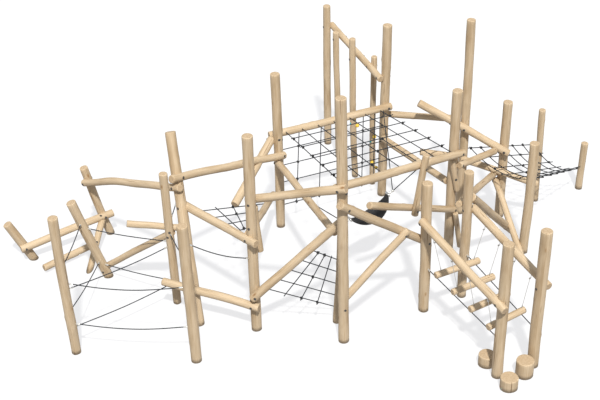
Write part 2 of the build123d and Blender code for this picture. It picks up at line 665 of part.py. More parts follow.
def connector(net, long_index, cross_index):
    """A clamp round two crossing ropes."""
    first, second = long_run(net, long_index, cross_index), cross_rope(net, cross_index)
    across = unit(first).cross(unit(second)).normalized()
    on_first, on_second = line_of(first).closest_points(line_of(second))
    middle = (on_first + on_second) / 2
    with BuildPart() as clamp:
        with BuildSketch(Plane(origin=middle, z_dir=across)):
            Circle(CONNECTOR / 2)
        extrude(amount=CONNECTOR / 2 + 2, both=True)
        chamfer(clamp.edges().filter_by(GeomType.CIRCLE), 4)
        for rope in (first, second):
            cut_along(rope, ROPE / 2 + GAP, -100, (rope.end - rope.start).length + 100)
        reach = Member(middle - across * CONNECTOR, middle + across * CONNECTOR, CONNECTOR / 2)
        for log in within_reach(reach, MEMBERS.values()):
            cut_along(log, log.radius + GAP)
    return largest(clamp.part)


export("net_connectors", [connector(net, *knot) for net in NETS.values() for knot in net.knots])

# ---------------------------------------------------------------- steps, hangers and their pins


def hanger(step, pin_point, eye_point, hinge):
    """A ring on its pin and the cable down to the step."""
    down = (eye_point - pin_point).normalized()
    length = (eye_point - pin_point).length
    with BuildPart() as cable:
        with BuildSketch(Plane(origin=pin_point, z_dir=hinge)):
            Circle(RING)
        extrude(amount=RING_THICK / 2, both=True)
        with BuildSketch(Plane(origin=pin_point, z_dir=down)):
            Circle(HANGER / 2)
        extrude(amount=length)
        with BuildSketch(Plane(origin=pin_point + down * (length - STEP / 2 - 50), z_dir=down)):
            Circle(HANGER)
        extrude(amount=STEP)
        with BuildSketch(Plane(origin=pin_point, z_dir=hinge)):
            Circle(PIN / 2 + PIN_CLEARANCE)
        extrude(amount=RING, both=True, mode=Mode.SUBTRACT)
        cut_along(step, STEP / 2 + GAP)
    return largest(cable.part)


def hinge_pin(tip, inward):
    """A pin under a handrail, on a stem that goes up into the rail."""
    stem = Member(tip, tip + Vector(0, 0, PIN_DROP + RAIL / 2), PIN / 2)
    with BuildPart() as pin:
        add(round_bar(stem, within_reach(stem, MEMBERS.values())))
        with BuildSketch(Plane(origin=tip, z_dir=inward)):
            Circle(PIN / 2)
        extrude(amount=PIN_LENGTH)
        with BuildSketch(Plane(origin=tip + inward * (PIN_LENGTH - 4), z_dir=inward)):
            Circle(PIN)
        extrude(amount=4)
    return pin.part.solid()


for number, (step, hinge) in enumerate(zip(STEPS, PINS), start=1):
    inward = unit(hinge)
    middle = (step.start + step.end) / 2
    hangers = []
    for tip, side in ((hinge.start, 1), (hinge.end, -1)):
        ring_centre = tip + inward * (side * PIN_LENGTH * 0.5)
        eye = middle - unit(step) * (side * HANGER_SPREAD)
        hangers.append(hanger(step, ring_centre, eye, inward))
        fittings.append(hinge_pin(tip, inward * side))
    export(f"step_log_{number}", [round_bar(step, (), 6)])
    export(f"step_hangers_{number}", hangers)
    print(f"step {number}: hinge at {tuple(hinge.start)} along {tuple(inward)}")

# ---------------------------------------------------------------- hammock

roll = (HAMMOCK_RIGHT - HAMMOCK_LEFT).normalized()
half_span = (HAMMOCK_RIGHT - HAMMOCK_LEFT).length / 2
hammock_plane = Plane(origin=(HAMMOCK_LEFT + HAMMOCK_RIGHT) / 2, x_dir=roll, z_dir=roll.cross(Vector(0, 0, 1)))
sideways, upward = hammock_plane.z_dir, hammock_plane.y_dir
curve = (half_span ** 2 + HAMMOCK_DEPTH ** 2) / (2 * HAMMOCK_DEPTH)
centre = hammock_plane.origin + upward * (curve - HAMMOCK_DEPTH)
SWEEP = 146
radial = (upward * -1).rotate(Axis((0, 0, 0), sideways), -SWEEP / 2)
half_width = HAMMOCK_WIDTH / 2 + 20
clamp_centres = [hammock_plane.origin + roll * (side * (half_span + 6)) for side in (-1, 1)]

with BuildPart() as hammock:
    with BuildSketch(Plane(origin=centre, x_dir=sideways, z_dir=sideways.cross(radial))):
        with BuildLine():
            outer = ThreePointArc((-half_width, curve + HAMMOCK_SHEET / 2 - HAMMOCK_RIM),
                                  (0, curve + HAMMOCK_SHEET / 2),
                                  (half_width, curve + HAMMOCK_SHEET / 2 - HAMMOCK_RIM))
            inner = ThreePointArc((-half_width, curve - HAMMOCK_SHEET / 2 - HAMMOCK_RIM),
                                  (0, curve - HAMMOCK_SHEET / 2),
                                  (half_width, curve - HAMMOCK_SHEET / 2 - HAMMOCK_RIM))
            Line(outer @ 0, inner @ 0)
            Line(outer @ 1, inner @ 1)
        make_face()
    revolve(axis=Axis(centre, sideways), revolution_arc=SWEEP)
    with BuildSketch(Plane(origin=hammock_plane.origin, x_dir=roll, z_dir=upward)):
        with BuildLine():
            near_edge = ThreePointArc((-half_span - 35, 0), (0, HAMMOCK_WIDTH / 2), (half_span + 35, 0))
            far_edge = ThreePointArc((-half_span - 35, 0), (0, -HAMMOCK_WIDTH / 2), (half_span + 35, 0))
        make_face()
    extrude(amount=2 * curve, both=True, mode=Mode.INTERSECT)
    for clamp_centre in clamp_centres:
        with BuildSketch(Plane(origin=clamp_centre - upward * (CLAMP[1] / 2 + GAP), x_dir=roll, z_dir=upward)):
            Rectangle(CLAMP[0] + 2 * GAP, CLAMP[2] + 2 * GAP)
        extrude(amount=CLAMP[1] + 60, mode=Mode.SUBTRACT)
export("hammock", [largest(hammock.part)])

studs = []
swivels = []
for side, clamp_centre in zip((-1, 1), clamp_centres):
    out = roll * side
    tip = hammock_plane.origin + out * half_span
    with BuildPart() as stud:
        with BuildSketch(Plane(origin=clamp_centre - upward * (CLAMP[1] / 2), x_dir=roll, z_dir=upward)):
            Rectangle(CLAMP[0], CLAMP[2])
        extrude(amount=CLAMP[1])
        fillet(stud.edges().filter_by(Axis((0, 0, 0), roll)), 10)
        with BuildSketch(Plane(origin=clamp_centre, z_dir=out)):
            Circle(STUD / 2)
        extrude(amount=STUD_LENGTH + CLAMP[0] / 2)
    studs.append(stud.part.solid())
    cup_start = tip + out * (CUP_START + CLAMP[0] / 2)
    ball_centre = cup_start + out * (CUP_LENGTH + SWIVEL / 2 - 6)
    with BuildPart() as swivel:
        with BuildSketch(Plane(origin=cup_start, z_dir=out)):
            Circle(CUP / 2)
        extrude(amount=CUP_LENGTH)
        with BuildSketch(Plane(origin=ball_centre, x_dir=out, z_dir=sideways)):
            with BuildLine():
                half_round = CenterArc((0, 0), SWIVEL / 2, 0, 180)
                Line(half_round @ 1, half_round @ 0)
            make_face()
        revolve(axis=Axis(ball_centre, out))
        with BuildSketch(Plane(origin=cup_start, z_dir=out)):
            Circle(STUD / 2 + PIN_CLEARANCE)
        extrude(amount=STUD_LENGTH - CUP_START + 14, mode=Mode.SUBTRACT)
    swivels.append(ball_centre)
    fittings.append(swivel.part.solid())
export("hammock_studs", studs)

hang_lines = [(swivels[0], along_log("cross_brace_back", 0.593)), (swivels[1], along_log("deck_right_beam", 0.66)),
              (swivels[1], along_log("deck_back_beam", 0.93))]
hang_ropes = []
for ball, anchor in hang_lines:
    start = ball + (anchor - ball).normalized() * (SWIVEL / 2 + 1)
    line = Member(start, anchor, ROPE / 2)
    hang_ropes.append(round_bar(line, within_reach(line, MEMBERS.values())))
export("hammock_ropes", hang_ropes)
export("rope_fittings", fittings)
print("hammock tips", tuple(HAMMOCK_LEFT), "roll", tuple(roll))

# ---------------------------------------------------------------- climbing holds

holds = []
for pole_name, height, angle, diameter in HOLDS:
    pole = MEMBERS[pole_name]
    hold_centre = axis_point(pole, height) + in_plan(angle) * (pole.radius + diameter * 0.12)
    with BuildPart() as hold:
        with BuildSketch(Plane(origin=hold_centre, x_dir=(0, 0, 1), z_dir=in_plan(angle + 90))):
            with BuildLine():
                half_round = CenterArc((0, 0), diameter / 2, 0, 180)
                Line(half_round @ 1, half_round @ 0)
            make_face()
        revolve(axis=Axis(hold_centre, (0, 0, 1)))
        for other in within_reach(Member(pole.start, pole.end, pole.radius + diameter), MEMBERS.values()):
            cut_along(other, other.radius + GAP)
    holds.append(largest(hold.part))
export("climbing_holds", holds)
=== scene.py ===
"""Looks of the climbing structure: peeled logs, twisted ropes, clamps, steel, rubber, ground and light."""
import bpy
import json
import math
import random
import numpy as np
from mathutils import Matrix, Vector
from mathutils.bvhtree import BVHTree


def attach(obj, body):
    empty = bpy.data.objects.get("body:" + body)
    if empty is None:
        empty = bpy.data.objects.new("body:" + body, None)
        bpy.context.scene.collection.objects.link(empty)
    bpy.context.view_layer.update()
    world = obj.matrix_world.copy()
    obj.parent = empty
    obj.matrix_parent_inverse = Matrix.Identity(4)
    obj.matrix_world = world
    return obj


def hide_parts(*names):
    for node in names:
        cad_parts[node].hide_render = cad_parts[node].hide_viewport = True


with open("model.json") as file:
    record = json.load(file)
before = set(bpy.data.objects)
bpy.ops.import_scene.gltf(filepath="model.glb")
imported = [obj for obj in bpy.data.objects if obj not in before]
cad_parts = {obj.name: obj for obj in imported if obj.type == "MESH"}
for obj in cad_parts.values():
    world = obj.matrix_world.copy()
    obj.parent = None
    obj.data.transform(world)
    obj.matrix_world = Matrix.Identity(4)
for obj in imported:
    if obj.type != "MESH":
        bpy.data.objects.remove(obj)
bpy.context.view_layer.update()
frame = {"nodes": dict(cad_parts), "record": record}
nodes = frame["nodes"]
scene = bpy.context.scene

# ---------------------------------------------------------------- camera

CAMERA_PLACE = (-0.615, -14.616, 12.320)
CAMERA_TILT = math.radians(56.317)
CAMERA_ROLL = math.radians(-1.314)

camera_data = bpy.data.cameras.new("camera")
camera_data.lens = 75
camera_data.sensor_width = 36
camera_data.clip_end = 200
camera = bpy.data.objects.new("camera", camera_data)
scene.collection.objects.link(camera)
camera.matrix_world = (Matrix.Translation(CAMERA_PLACE)
                       @ Matrix.Rotation(CAMERA_TILT, 4, "X")
                       @ Matrix.Rotation(CAMERA_ROLL, 4, "Z"))
scene.camera = camera

# ---------------------------------------------------------------- materials


def tree(name, color=(0.5, 0.5, 0.5), roughness=0.6, metallic=0.0):
    """A new material with its shader, and short helpers to add and join nodes."""
    material = bpy.data.materials.new(name)
    material.use_nodes = True
    links = material.node_tree.links
    shader = material.node_tree.nodes["Principled BSDF"]
    shader.inputs["Base Color"].default_value = (*color, 1)
    shader.inputs["Roughness"].default_value = roughness
    shader.inputs["Metallic"].default_value = metallic

    def node(kind, inputs=None, **settings):
        made = material.node_tree.nodes.new("ShaderNode" + kind)
        for key, value in settings.items():
            setattr(made, key, value)
        for key, value in (inputs or {}).items():
            if hasattr(value, "is_output"):
                links.new(value, made.inputs[key])
            else:
                made.inputs[key].default_value = value
        return made

    return material, shader, links, node


def ramp(node, factor, *stops):
    """A colour ramp with its stops given as (place, colour)."""
    made = node("ValToRGB", {"Fac": factor})
    elements = made.color_ramp.elements
    for index, (place, color) in enumerate(stops):
        element = elements[index] if index < 2 else elements.new(place)
        element.position = place
        element.color = (*color, 1)
    return made.outputs["Color"]


def multiplied(node, product, *layers):
    """A colour darkened by several layers, one after the other."""
    for layer in layers:
        mix = node("Mix", {"Factor": 1.0, 6: product, 7: layer}, data_type="RGBA", blend_type="MULTIPLY")
        product = mix.outputs[2]
    return product


def stretched(node, along, across, shift):
    """Surface coordinates, in metres along and round a log, stretched for a grain."""
    uv = node("UVMap", uv_map="UVMap")
    made = node("Mapping", {"Vector": uv.outputs["UV"], "Scale": (along, across, 1),
                            "Location": (shift, shift, shift)})
    return made.outputs["Vector"]


def streaks(node, along, across, shift, detail, roughness):
    """Noise drawn out along a log."""
    return node("TexNoise", {"Vector": stretched(node, along, across, shift), "Scale": 1.0,
                             "Detail": detail, "Roughness": roughness})


def wood_material():
    """Peeled, oiled wood: fine grain, soft stains, knots and drying cracks that run along the log."""
    material, shader, links, node = tree("peeled_wood", roughness=0.72)
    grain = streaks(node, 1.6, 70, 0, 5.0, 0.6)
    stain = streaks(node, 1.1, 5, 3, 3.0, 0.55)
    crack = streaks(node, 1.3, 42, 11, 2.0, 0.4)
    knot = node("TexVoronoi", {"Vector": stretched(node, 1.9, 4.3, 5), "Scale": 1.0, "Randomness": 1.0})
    base = ramp(node, stain.outputs["Fac"], (0.30, (0.40, 0.285, 0.165)), (0.44, (0.51, 0.392, 0.255)),
                (0.56, (0.58, 0.457, 0.31)), (0.74, (0.47, 0.345, 0.21)))
    lines = ramp(node, grain.outputs["Fac"], (0.30, (0.78, 0.72, 0.62)), (0.5, (0.97, 0.96, 0.94)),
                 (0.72, (1.0, 1.0, 1.0)))
    spots = ramp(node, knot.outputs["Distance"], (0.03, (0.50, 0.36, 0.24)), (0.06, (0.78, 0.67, 0.54)),
                 (0.11, (1.0, 1.0, 1.0)))
    splits = ramp(node, crack.outputs["Fac"], (0.265, (0.30, 0.20, 0.12)), (0.29, (1.0, 1.0, 1.0)))
    links.new(multiplied(node, base, lines, spots, splits), shader.inputs["Base Color"])
    height = node("Math", {0: grain.outputs["Fac"], 1: splits}, operation="MULTIPLY")
    bump = node("Bump", {"Height": height.outputs[0], "Strength": 0.35, "Distance": 0.004})
    links.new(bump.outputs["Normal"], shader.inputs["Normal"])
    return material


def end_grain_material():
    """Sawn ends: growth rings and a soft mottle."""
    material, shader, links, node = tree("end_grain", roughness=0.8)
    uv = node("UVMap", uv_map="UVMap")
    rings = node("TexWave", {"Vector": uv.outputs["UV"], "Scale": 38.0, "Distortion": 1.6, "Detail": 2.0,
                             "Detail Scale": 1.2}, wave_type="RINGS", rings_direction="Z")
    rough = node("TexNoise", {"Vector": uv.outputs["UV"], "Scale": 30.0, "Detail": 4.0})
    base = ramp(node, rings.outputs["Fac"], (0.0, (0.40, 0.28, 0.165)), (0.6, (0.50, 0.38, 0.245)),
                (1.0, (0.56, 0.44, 0.295)))
    shade = ramp(node, rough.outputs["Fac"], (0.3, (0.82, 0.78, 0.72)), (0.6, (1.0, 1.0, 1.0)))
    links.new(multiplied(node, base, shade), shader.inputs["Base Color"])
    bump = node("Bump", {"Height": rings.outputs["Fac"], "Strength": 0.2, "Distance": 0.002})
    links.new(bump.outputs["Normal"], shader.inputs["Normal"])
    return material


def speckled(name, dark, light, scale, roughness, metallic=0.0, bump_strength=0.15):
    """A finish mottled between two colours, with a fine bump."""
    material, shader, links, node = tree(name, roughness=roughness, metallic=metallic)
    place = node("TexCoord")
    noise = node("TexNoise", {"Vector": place.outputs["Object"], "Scale": scale, "Detail": 5.0})
    links.new(ramp(node, noise.outputs["Fac"], (0.35, dark), (0.65, light)), shader.inputs["Base Color"])
    bump = node("Bump", {"Height": noise.outputs["Fac"], "Strength": bump_strength, "Distance": 0.002})
    links.new(bump.outputs["Normal"], shader.inputs["Normal"])
    return material


WOOD = wood_material()
END_GRAIN = end_grain_material()
ROPE = speckled("rope_yarn", (0.010, 0.012, 0.015), (0.030, 0.035, 0.042), 260, 0.85, bump_strength=0.4)
CLAMP = speckled("clamp_plastic", (0.005, 0.005, 0.006), (0.012, 0.012, 0.013), 60, 0.45)
RUBBER = speckled("ribbed_rubber", (0.006, 0.006, 0.007), (0.016, 0.016, 0.018), 90, 0.62, bump_strength=0.3)
STEEL = speckled("brushed_steel", (0.45, 0.45, 0.44), (0.68, 0.68, 0.66), 120, 0.35, 0.9)
DARK_STEEL = speckled("dull_steel", (0.05, 0.045, 0.04), (0.13, 0.125, 0.12), 200, 0.5, 0.6)
FERRULE = speckled("pressed_aluminium", (0.55, 0.55, 0.53), (0.78, 0.78, 0.75), 150, 0.4, 0.7)
YELLOW = speckled("hold_yellow", (0.72, 0.46, 0.03), (0.88, 0.62, 0.07), 45, 0.55, bump_strength=0.5)
TEAL = speckled("hold_teal", (0.02, 0.30, 0.33), (0.05, 0.42, 0.44), 45, 0.55, bump_strength=0.5)

# ---------------------------------------------------------------- mesh helpers


def make_piece(name, body, mesh, materials, replaces=()):
    """An object that rides on a body, with its materials and the CAD nodes it stands in for."""
    piece = bpy.data.objects.new(name, mesh)
    scene.collection.objects.link(piece)
    for material in materials:
        mesh.materials.append(material)
    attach(piece, body)
    if replaces:
        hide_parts(*replaces)
    return piece


def side_vectors(along):
    """Two unit vectors square to a direction and to each other."""
    helper = np.array((0.0, 0.0, 1.0)) if abs(along[2]) < 0.9 else np.array((1.0, 0.0, 0.0))
    first = np.cross(helper, along)
    first /= np.linalg.norm(first)
    return first, np.cross(along, first)


def ring_faces(rings, sides):
    """The four-sided faces between the rings of a tube."""
    faces = []
    for ring in range(rings - 1):
        for side in range(sides):
            a, b = ring * sides + side, ring * sides + (side + 1) % sides
            faces.append((a, b, b + sides, a + sides))
    return faces


ROPE_DIAMETER = 0.016
STRANDS = 6
# The length of rope in which a strand goes once round, and a strand's mean radius and swell as shares.
LAY = 0.11
STRAND_MEAN, STRAND_SWELL = 0.955, 0.045


def strand_tube(points, sides=18):
    """Vertices and faces of a twisted rope along closely spaced points."""
    points = np.array(points, float)
    tangents = np.gradient(points, axis=0)
    tangents /= np.linalg.norm(tangents, axis=1)[:, None]
    travelled = np.concatenate(([0], np.cumsum(np.linalg.norm(np.diff(points, axis=0), axis=1))))
    angles = np.linspace(0, 2 * math.pi, sides, endpoint=False)
    first, _ = side_vectors(tangents[0])
    verts = []
    for point, tangent, distance in zip(points, tangents, travelled):
        first = first - tangent * first.dot(tangent)
        first /= np.linalg.norm(first)
        second = np.cross(tangent, first)
        twist = 2 * math.pi * distance / LAY
        radius = ROPE_DIAMETER / 2 * (STRAND_MEAN + STRAND_SWELL * np.cos(STRANDS * (angles - twist)))
        verts.extend(point + np.outer(np.cos(angles) * radius, first)
                     + np.outer(np.sin(angles) * radius, second))
    faces = ring_faces(len(points), sides)
    faces.append(tuple(reversed(range(sides))))
    last = (len(points) - 1) * sides
    faces.append(tuple(range(last, last + sides)))
    return verts, faces


def mesh_from(name, groups, smooth=True):
    """One mesh made of several lists of vertices and faces."""
    all_verts, all_faces = [], []
    for verts, faces in groups:
        shift = len(all_verts)
        all_verts.extend(tuple(v) for v in verts)
        all_faces.extend(tuple(index + shift for index in face) for face in faces)
    mesh = bpy.data.meshes.new(name)
    mesh.from_pydata(all_verts, [], all_faces)
    if smooth:
        mesh.polygons.foreach_set("use_smooth", [True] * len(mesh.polygons))
    mesh.update()
    return mesh


# ---------------------------------------------------------------- slack ropes and bridge ropes
# Both ends of each rope, in metres, and how far each bend lies below the straight line, in millimetres.

ROPE_STEP = 0.009
ROPES = {
    "slack_rope_1": ((-4.0743, 0.0013, 1.5301), (-4.0815, 1.5627, 1.1460), (13, 22, 28, 30, 27, 20, 11)),
    "slack_rope_2": ((-4.0460, 0.0009, 0.7321), (-3.8848, 1.6089, 0.3628), (14, 25, 32, 34, 31, 23, 13)),
    "slack_rope_3": ((-3.9328, 1.6443, 1.0178), (-2.7318, 1.0836, 1.1608), (11, 19, 22, 21, 17, 10)),
    "slack_rope_4": ((-2.7155, 0.9505, 1.1066), (-3.9621, -0.0464, 1.1686), (15, 26, 31, 32, 28, 21, 11)),
    "slack_rope_5": ((-3.7384, 1.6785, 0.2777), (-2.7160, 1.0929, 0.4015), (11, 18, 20, 17, 10)),
    "slack_rope_6": ((-3.9365, -0.1481, 1.2965), (-2.3818, -0.3607, 1.3554), (32, 56, 71, 77, 71, 55, 31)),
    "slack_rope_7": ((-2.7052, 0.9503, 0.3982), (-3.9492, -0.0464, 0.4586), (12, 22, 29, 32, 28, 21, 11)),
    "slack_rope_8": ((-3.9226, -0.1481, 0.5503), (-2.3685, -0.3606, 0.6263), (28, 49, 62, 67, 63, 49, 27)),
    "slack_rope_9": ((-2.5160, 1.1695, 1.7381), (-2.5612, 1.1097, 1.6268), (3,)),
    "slack_rope_10": ((-2.5877, 0.9092, 1.3765), (-2.2844, -0.2452, 1.7939), (12, 20, 24, 23, 19, 11)),
    "slack_rope_11": ((-2.1511, -0.3007, 2.0492), (-1.4331, 0.2488, 1.4050), (27, 45, 53, 48, 29)),
    "bridge_rope_left": ((1.3409, 0.5775, 0.8352), (2.1314, -0.7467, 0.6749), ()),
    "bridge_rope_right": ((1.9707, 0.9182, 0.8364), (2.6923, -0.5301, 0.6745), ()),
}


def route(start, end, drops):
    """The points that control a rope's line, from end to end."""
    start, end = Vector(start), Vector(end)
    count = len(drops) + 1
    middle = [start.lerp(end, (i + 1) / count) - Vector((0, 0, drop / 1000))
              for i, drop in enumerate(drops)]
    return [start, *middle, end]


def smooth_line(points):
    """Closely spaced points of the smooth line that a route's points control."""
    curve = bpy.data.curves.new("line", "CURVE")
    curve.dimensions = "3D"
    spline = curve.splines.new("NURBS")
    spline.points.add(len(points) - 1)
    for place, point in zip(spline.points, points):
        place.co = (*point, 1)
    spline.order_u = 3
    spline.use_endpoint_u = True
    spline.resolution_u = 24
    holder = bpy.data.objects.new("line", curve)
    scene.collection.objects.link(holder)
    mesh = bpy.data.meshes.new_from_object(holder)
    line = [v.co.copy() for v in mesh.vertices]
    bpy.data.objects.remove(holder)
    bpy.data.curves.remove(curve)
    bpy.data.meshes.remove(mesh)
    return line


def evenly(line, spacing):
    """Points at a close, even spacing along a smooth line."""
    line = np.array(line)
    travelled = np.concatenate(([0], np.cumsum(np.linalg.norm(np.diff(line, axis=0), axis=1))))
    count = max(6, int(travelled[-1] / spacing))
    places = np.linspace(0, travelled[-1], count)
    return np.stack([np.interp(places, travelled, line[:, axis]) for axis in range(3)], axis=1), travelled[-1]


for rope_name, (start, end, drops) in ROPES.items():
    points = route(start, end, drops or (0, 0))
    line, length = evenly(smooth_line(points), ROPE_STEP)
    rope = make_piece(rope_name + "_strands", "frame", mesh_from(rope_name, [strand_tube(line)]), [ROPE],
                      [rope_name])
    tuple(points[0])
    [tuple(p) for p in line]

# ---------------------------------------------------------------- bars read from the CAD nodes


def separate_solids(name):
    """Vertices and triangles of each separate solid of a node."""
    mesh = nodes[name].data
    mesh.calc_loop_triangles()
    places = np.array([v.co for v in mesh.vertices])
    keys, merged = np.unique(np.round(places, 6), axis=0, return_inverse=True)
    merged = merged.reshape(-1)
    triangles = merged[np.array([t.vertices for t in mesh.loop_triangles])]
    parent = list(range(len(keys)))

    def root(index):
        while parent[index] != index:
            parent[index] = parent[parent[index]]
            index = parent[index]
        return index

    for a, b, c in triangles:
        ra, rb, rc = root(a), root(b), root(c)
        parent[rb] = ra
        parent[root(rc)] = ra
    groups = {}
    for triangle in triangles:
        groups.setdefault(root(triangle[0]), []).append(triangle)
    return [(keys, np.array(group)) for _, group in sorted(groups.items())]


def fit_bar(keys, triangles, axis=None):
    """Both ends and the radius of the round bar that a notched solid was cut from."""
    a, b, c = (keys[triangles[:, i]] for i in range(3))
    normals = np.cross(b - a, c - a)
    areas = np.linalg.norm(normals, axis=1)
    normals = normals / np.maximum(areas, 1e-12)[:, None]
    if axis is None:
        spread = (normals * areas[:, None]).T @ normals
        axis = np.linalg.eigh(spread)[1][:, 0]
    axis = axis if axis[2] >= 0 else -axis
    first, second = side_vectors(axis)
    used = keys[np.unique(triangles)]
    side = np.abs(normals @ axis) < 0.03
    wall = keys[np.unique(triangles[side])]
    flat = np.stack([wall @ first, wall @ second], axis=1)
    centre = (flat.max(0) + flat.min(0)) / 2
    radius = (flat.max(0) - flat.min(0)).max() / 2
    for margin in (0.01, 0.004, 0.002):
        near = flat[np.abs(np.linalg.norm(flat - centre, axis=1) - radius) < margin]
        if len(near) < 8:
            break
        system = np.column_stack([2 * near, np.ones(len(near))])
        solved = np.linalg.lstsq(system, (near ** 2).sum(1), rcond=None)[0]
        centre, radius = solved[:2], math.sqrt(solved[2] + solved[:2] @ solved[:2])
    middle = first * centre[0] + second * centre[1]
    along = used @ axis
    return middle + axis * along.min(), middle + axis * along.max(), radius


# ---------------------------------------------------------------- logs

LOG_NODES = [name for name in sorted(nodes)
             if any(s["node"] == name and s["material_slot"] == "log" for s in frame["record"]["subparts"])]
BODY_OF = {node: body for body, members in frame["record"]["behaviour"]["bodies"].items() for node in members}
# How far, in metres, the logs of a node may wander from a straight line.
CROOKED = {"bent_rails": 0.042, "short_leaning_posts": 0.014, "climbing_poles": 0.014,
           "side_net_braces": 0.014, "hanging_braces": 0.016, "balance_logs": 0.016, "rope_bay_braces": 0.014,
           "step_log_1": 0.004, "step_log_2": 0.004, "step_log_3": 0.004, "step_log_4": 0.004, "stumps": 0.0}
USUALLY_CROOKED = 0.011
SIDES = 36
BEVEL = 0.012
SWELL = 0.012
RING_STEP = 0.045
# A log that starts below GROUNDED stands on the ground. Its first ring lies FOOT along it, and is repeated
# level with the ground.
GROUNDED = 0.06
FOOT = 0.08
# Where the ring between an end's rim and its middle lies, as a share of the way out.
END_RING = 0.55


def log_mesh(name, low, high, radius, crooked, chance, shift):
    """A slightly crooked, uneven log with rounded, sawn ends."""
    low, high = np.array(low), np.array(high)
    length = np.linalg.norm(high - low)
    axis = (high - low) / length
    first, second = side_vectors(axis)
    angles = np.linspace(0, 2 * math.pi, SIDES, endpoint=False)
    waves = [(chance.uniform(-1, 1) * crooked / (k ** 1.3), chance.uniform(0, 2 * math.pi),
              k * chance.uniform(0.8, 1.2)) for k in (1, 2, 3, 5) for _ in range(2)]
    lobes = [(k, chance.uniform(0, 2 * math.pi), chance.uniform(-2, 2), chance.uniform(0.006, 0.014))
             for k in (1, 2, 3, 4)]
    swells = [(chance.uniform(0, 2 * math.pi), chance.uniform(2.5, 9.0)) for _ in range(3)]
    knots = [(chance.uniform(0.1, 0.9) * length, chance.uniform(0, 2 * math.pi),
              chance.uniform(0.004, 0.009)) for _ in range(int(length * 2))]

    def centre(t):
        x = sum(a * math.sin(p + w * math.pi * t / max(length, 1.5)) for a, p, w in waves[::2])
        y = sum(a * math.sin(p + w * math.pi * t / max(length, 1.5)) for a, p, w in waves[1::2])
        return x, y

    ends = [centre(0), centre(length)]

    def ring(t, inset):
        share = t / length
        x, y = centre(t)
        x -= ends[0][0] * (1 - share) + ends[1][0] * share
        y -= ends[0][1] * (1 - share) + ends[1][1] * share
        size = radius * (1 + sum(SWELL * math.sin(p + w * t) for p, w in swells))
        around = size * (1 + sum(a * np.cos(k * angles + p + w * t) for k, p, w, a in lobes))
        for place, angle, rise in knots:
            turn = np.abs((angles - angle + math.pi) % (2 * math.pi) - math.pi)
            around = around + rise * np.exp(-((t - place) / 0.035) ** 2 - (turn * radius / 0.03) ** 2)
        around = around - inset
        base = low + axis * t
        return (base + np.outer(x + np.cos(angles) * around, first)
                + np.outer(y + np.sin(angles) * around, second))

    grounded = low[2] < GROUNDED
    steps = max(6, int((length - 2 * BEVEL) / RING_STEP))
    rounding = [(BEVEL * (1 - math.cos(q)), BEVEL * (1 - math.sin(q))) for q in (0.0, 0.5, 1.0)]
    rows = rounding + [(BEVEL + (length - 2 * BEVEL) * i / steps, 0.0) for i in range(steps + 1)]
    rows += [(length - t, inset) for t, inset in reversed(rounding)]
    if grounded:
        rows = [(FOOT, 0.0)] + [row for row in rows if row[0] > FOOT]
    verts, along = [], []
    for t, inset in rows:
        verts.extend(ring(t, inset))
        along.append(t)
    if grounded:
        verts = np.array(verts[:SIDES] + verts)
        sunk = (np.arange(len(verts)) < SIDES) | (verts[:, 2] < 0)
        verts[sunk] -= np.outer(verts[sunk, 2] / axis[2], axis)
        verts = list(verts)
        along.insert(0, 0.0)
    faces = ring_faces(len(along), SIDES)
    slots = [0] * len(faces)
    uvs = []
    for t0, t1 in zip(along, along[1:]):
        for side in range(SIDES):
            v0, v1 = side * 2 * math.pi / SIDES * radius, (side + 1) * 2 * math.pi / SIDES * radius
            uvs.extend([(t0 + shift, v0), (t0 + shift, v1), (t1 + shift, v1), (t1 + shift, v0)])
    for rim, flip in ((0, True), (len(along) - 1, False)):
        outer = [rim * SIDES + side for side in range(SIDES)]
        hub = np.mean([verts[i] for i in outer], axis=0)
        heart = hub + (first * chance.uniform(-0.1, 0.1) + second * chance.uniform(-0.1, 0.1)) * radius
        middle_start = len(verts)
        verts.extend(hub + (np.array(verts[i]) - hub) * END_RING for i in outer)
        verts.append(hub)
        for side in range(SIDES):
            nxt = (side + 1) % SIDES
            quad = (outer[side], outer[nxt], middle_start + nxt, middle_start + side)
            tip = (middle_start + side, middle_start + nxt, len(verts) - 1)
            for face in (quad, tip):
                face = tuple(reversed(face)) if flip else face
                faces.append(face)
                slots.append(1)
                spokes = [np.array(verts[i]) - heart for i in face]
                uvs.extend((float(spoke @ first), float(spoke @ second)) for spoke in spokes)
    mesh = bpy.data.meshes.new(name)
    mesh.from_pydata([tuple(v) for v in verts], [], faces)
    layer = mesh.uv_layers.new(name="UVMap")
    layer.data.foreach_set("uv", [number for uv in uvs for number in uv])
    mesh.polygons.foreach_set("material_index", slots)
    mesh.polygons.foreach_set("use_smooth", [slot == 0 for slot in slots])
    mesh.update()
    return mesh


log_pieces = []
for node_index, name in enumerate(LOG_NODES):
    for index, (keys, triangles) in enumerate(separate_solids(name)):
        low, high, radius = fit_bar(keys, triangles, np.array((0.0, 0.0, 1.0)) if name == "stumps" else None)
        crooked = CROOKED.get(name, USUALLY_CROOKED)
        chance = random.Random(f"{name} {index}")
        label = f"{name}_log_{index + 1}"
        mesh = log_mesh(label, low, high, radius, crooked, chance, 7.3 * node_index + 1.7 * index)
        log_pieces.append(make_piece(label, BODY_OF[name], mesh, [WOOD, END_GRAIN], [name]))

# ---------------------------------------------------------------- bolts sunk into the logs

log_verts, log_faces = [], []
for piece in log_pieces:
    shift = len(log_verts)
    log_verts.extend(v.co.copy() for v in piece.data.vertices)
    log_faces.extend([i + shift for i in p.vertices] for p in piece.data.polygons)
log_tree = BVHTree.FromPolygons(log_verts, log_faces)


